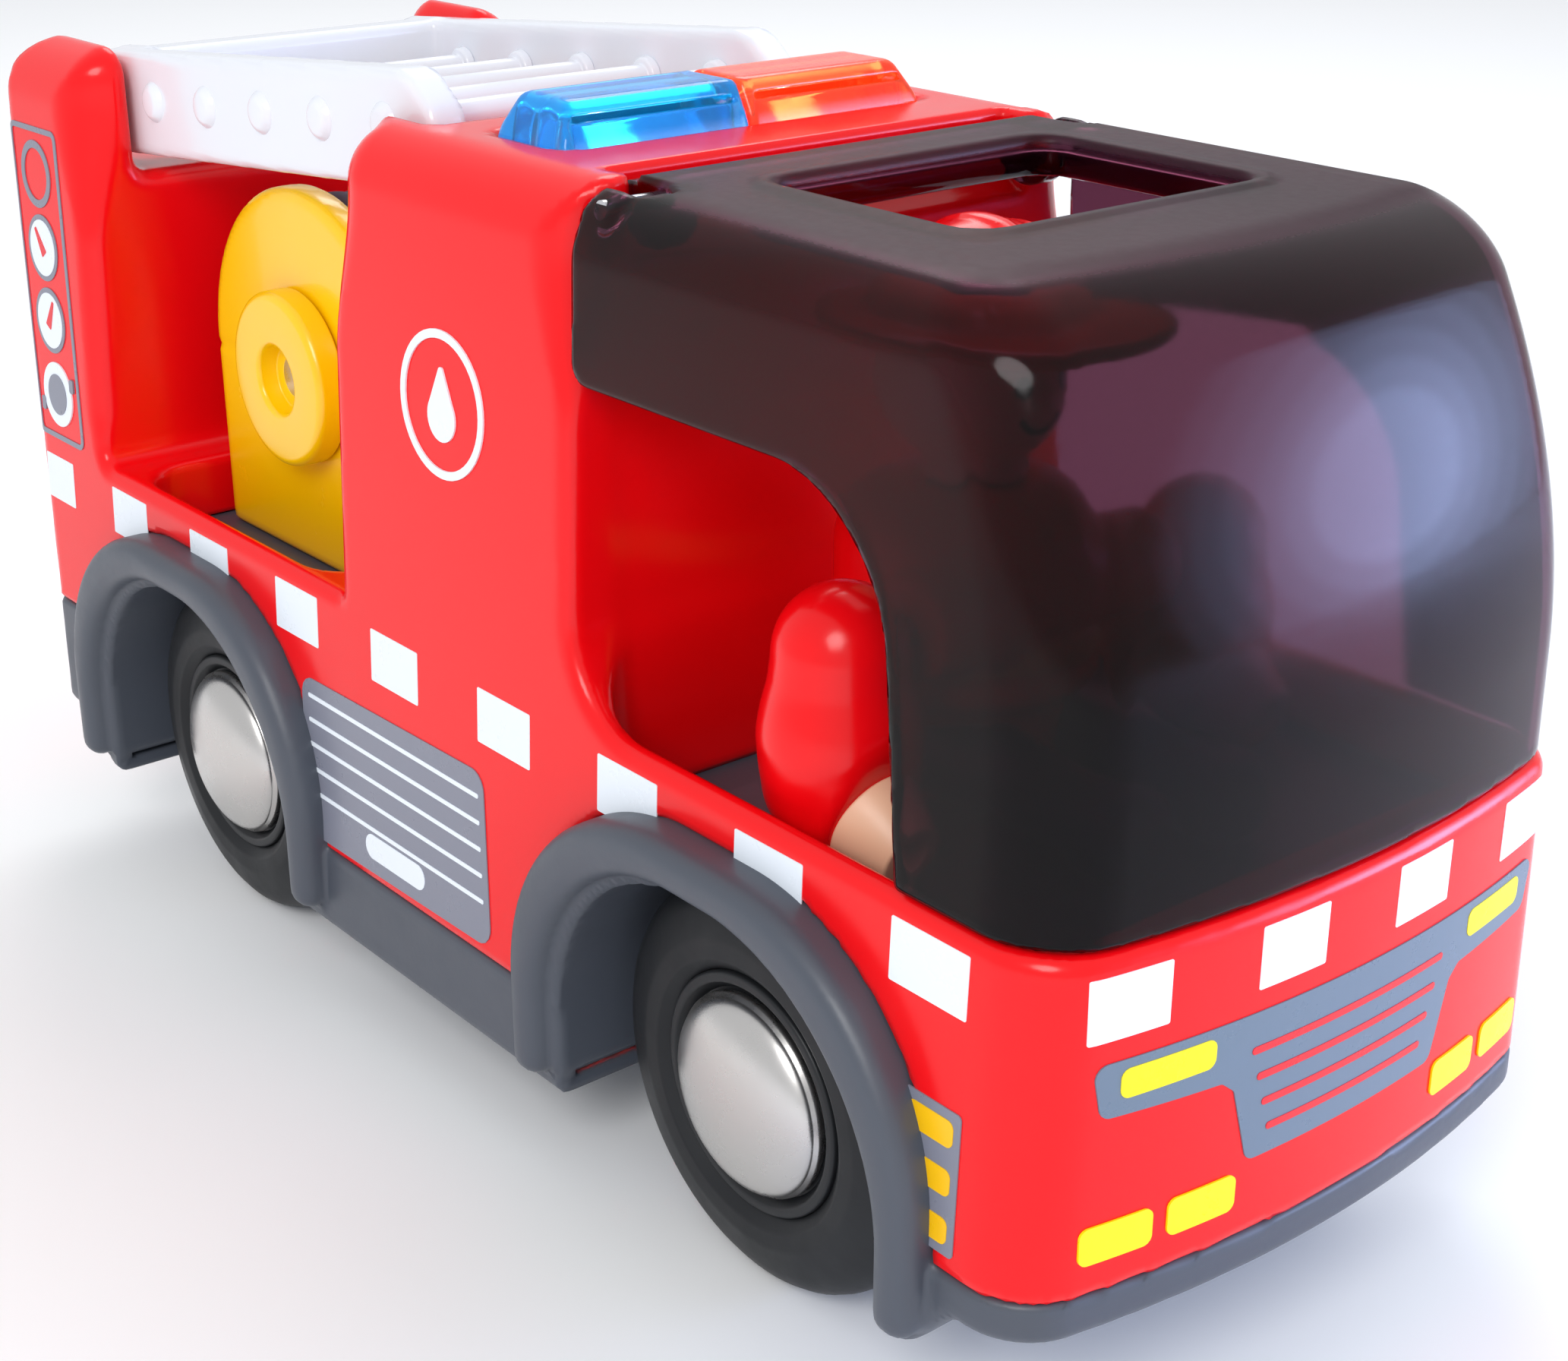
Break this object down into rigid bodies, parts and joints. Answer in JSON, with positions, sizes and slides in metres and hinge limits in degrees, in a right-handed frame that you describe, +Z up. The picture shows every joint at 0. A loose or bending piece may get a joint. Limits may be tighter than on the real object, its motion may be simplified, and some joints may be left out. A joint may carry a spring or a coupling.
{
  "type": "push-along toy fire truck",
  "caption": "Push-along toy fire truck with hinged tinted cab canopy, push-button light bar, raising ladder, turning hose reel and posable driver.",
  "frame": {"origin": "centre of the bounding box on the ground plane under the tyres", "axes": "+X forward along the truck, +Y to the truck's left, +Z up"},
  "size_m": [0.239, 0.098, 0.1355],
  "materials": {
    "red_plastic": "gloss",
    "grey_plastic": "satin",
    "black_tyre": "satin",
    "black_plastic": "satin",
    "silver_cap": "satin metal",
    "steel": "bright",
    "tinted_plastic": "smoky translucent",
    "blue_lens": "translucent",
    "red_lens": "translucent",
    "white_plastic": "gloss",
    "yellow_plastic": "gloss",
    "hose_rope": "woven",
    "skin": "satin",
    "navy_plastic": "satin",
    "yellow_trim": "satin",
    "circuit_green": "solder mask",
    "battery_wrap": "gloss"
  },
  "bodies": {
    "truck": {"body_shell": "red_plastic", "chassis": "grey_plastic", "bay_floor": "grey_plastic", "cab_floor": "grey_plastic", "battery_door": "grey_plastic", "chassis_screws": "steel", "canopy_pins": "steel", "light_board": "circuit_green", "light_lamps": "white_plastic", "main_board": "circuit_green", "siren_switch": "black_plastic", "speaker": "black_plastic", "battery_box": "grey_plastic", "battery_right": "battery_wrap", "battery_left": "battery_wrap", "battery_contacts": "steel", "button_spring": "steel", "ladder_pins": "steel", "reel_cheek_right": "yellow_plastic", "reel_cheek_left": "yellow_plastic", "driver_torso": "red_plastic", "driver_jacket_band": "yellow_trim", "driver_legs": "navy_plastic", "driver_shoulder_pin": "steel"},
    "front_wheels": {"tyre_front_right": "black_tyre", "tyre_front_left": "black_tyre", "core_front_right": "black_plastic", "core_front_left": "black_plastic", "hub_cap_front_right": "silver_cap", "hub_cap_front_left": "silver_cap", "front_axle": "steel"},
    "rear_wheels": {"tyre_rear_right": "black_tyre", "tyre_rear_left": "black_tyre", "core_rear_right": "black_plastic", "core_rear_left": "black_plastic", "hub_cap_rear_right": "silver_cap", "hub_cap_rear_left": "silver_cap", "rear_axle": "steel"},
    "canopy": {"canopy": "tinted_plastic"},
    "light_bar": {"light_base": "white_plastic", "lens_blue": "blue_lens", "lens_red": "red_lens"},
    "ladder": {"ladder_frame": "white_plastic", "ladder_rungs": "white_plastic"},
    "reel": {"reel_drum": "yellow_plastic", "reel_hose": "hose_rope", "reel_shaft": "steel", "reel_knob_right": "yellow_plastic", "reel_knob_left": "yellow_plastic"},
    "driver_head": {"driver_head": "skin", "driver_helmet": "red_plastic"},
    "arm_right": {"driver_arm_right": "red_plastic", "driver_hand_right": "skin"},
    "arm_left": {"driver_arm_left": "red_plastic", "driver_hand_left": "skin"}
  },
  "joints": [
    {"name": "front_axle_spin", "type": "hinge", "parent": "truck", "child": "front_wheels", "pos_m": [0.0636, 0, 0.0265], "axis": [0, 1, 0], "continuous": true},
    {"name": "rear_axle_spin", "type": "hinge", "parent": "truck", "child": "rear_wheels", "pos_m": [-0.0636, 0, 0.0265], "axis": [0, 1, 0], "continuous": true},
    {"name": "canopy_hinge", "type": "hinge", "parent": "truck", "child": "canopy", "pos_m": [0.0369, 0, 0.1272], "axis": [0, -1, 0], "range_deg": [0, 65]},
    {"name": "light_button", "type": "slide", "parent": "truck", "child": "light_bar", "axis": [0, 0, -1], "range_m": [0, 0.002], "stiffness_N_per_m": 600, "springref_m": -0.001, "deforming": ["button_spring"]},
    {"name": "ladder_raise", "type": "hinge", "parent": "truck", "child": "ladder", "pos_m": [-0.105, 0, 0.1202], "axis": [0, -1, 0], "range_deg": [0, 70]},
    {"name": "reel_spin", "type": "hinge", "parent": "truck", "child": "reel", "pos_m": [-0.0558, 0, 0.0864], "axis": [0, 1, 0], "continuous": true},
    {"name": "head_turn", "type": "hinge", "parent": "truck", "child": "driver_head", "pos_m": [0.0585, 0, 0.1], "axis": [0, 0, 1], "range_deg": [-60, 60]},
    {"name": "shoulder_right", "type": "hinge", "parent": "truck", "child": "arm_right", "pos_m": [0.0686, -0.0295, 0.0824], "axis": [0, -1, 0], "range_deg": [0, 60]},
    {"name": "shoulder_left", "type": "hinge", "parent": "truck", "child": "arm_left", "pos_m": [0.0686, 0.0295, 0.0824], "axis": [0, -1, 0], "range_deg": [0, 60]}
  ]
}
